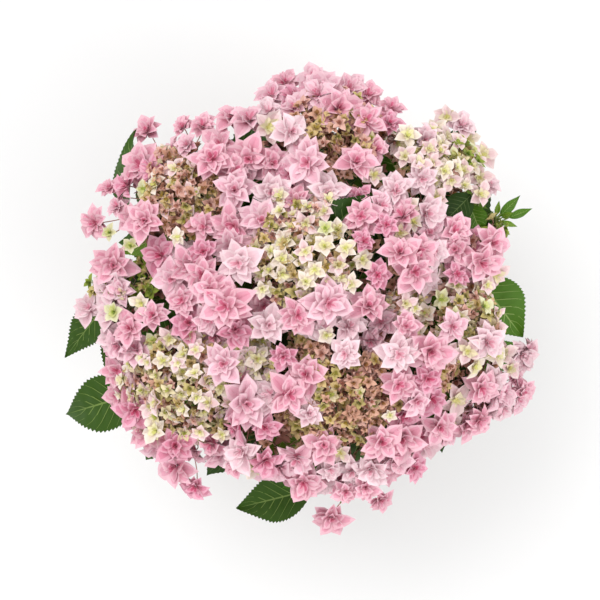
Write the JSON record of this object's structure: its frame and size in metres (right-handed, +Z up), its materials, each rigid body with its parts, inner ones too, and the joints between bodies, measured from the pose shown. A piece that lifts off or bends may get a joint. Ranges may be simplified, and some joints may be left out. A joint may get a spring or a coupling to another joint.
{
  "type": "potted hydrangea shrub",
  "caption": "Potted hydrangea shrub: a low dome of double star-shaped pink and cream florets over toothed green leaves on woody canes, in a plain terracotta pot.",
  "frame": {"origin": "middle of the pot's flat underside, on the surface it stands on", "axes": "+Z up; +X to the right and +Y to the top of the plant as seen from above"},
  "size_m": [0.4871, 0.4654, 0.4669],
  "materials": {
    "terracotta": "matte",
    "compost": "matte",
    "bark": "matte",
    "leaf": "satin",
    "petal_pink": "matte",
    "petal_cream": "matte"
  },
  "bodies": {
    "root": {"pot": "terracotta", "compost": "compost", "stool": "bark", "cane_1": "bark", "cane_2": "bark", "cane_3": "bark", "cane_4": "bark", "cane_5": "bark", "leafy_shoot_a": "leaf", "leafy_shoot_b": "leaf", "leafy_shoot_c": "leaf", "leafy_shoot_d": "leaf", "leafy_shoot_e": "leaf", "leafy_shoot_f": "leaf", "leafy_shoot_g": "leaf", "leafy_shoot_h": "leaf", "leafy_shoot_i": "leaf", "leafy_shoot_k": "leaf", "leafy_shoot_l": "leaf", "leafy_shoot_m": "leaf", "leafy_shoot_n": "leaf", "leafy_shoot_o": "leaf", "leafy_shoot_p": "leaf", "flower_head_a": "petal_pink", "flower_head_b": "petal_pink", "flower_head_c": "petal_cream", "flower_head_d": "petal_cream", "flower_head_e": "petal_pink", "flower_head_f": "petal_cream", "flower_head_g": "petal_pink", "flower_head_h": "petal_pink", "flower_head_i": "petal_pink", "flower_head_k": "petal_pink", "flower_head_l": "petal_pink", "flower_head_m": "petal_cream", "flower_head_n": "petal_pink", "flower_head_o": "petal_pink", "flower_head_p": "petal_pink"}
  },
  "joints": []
}
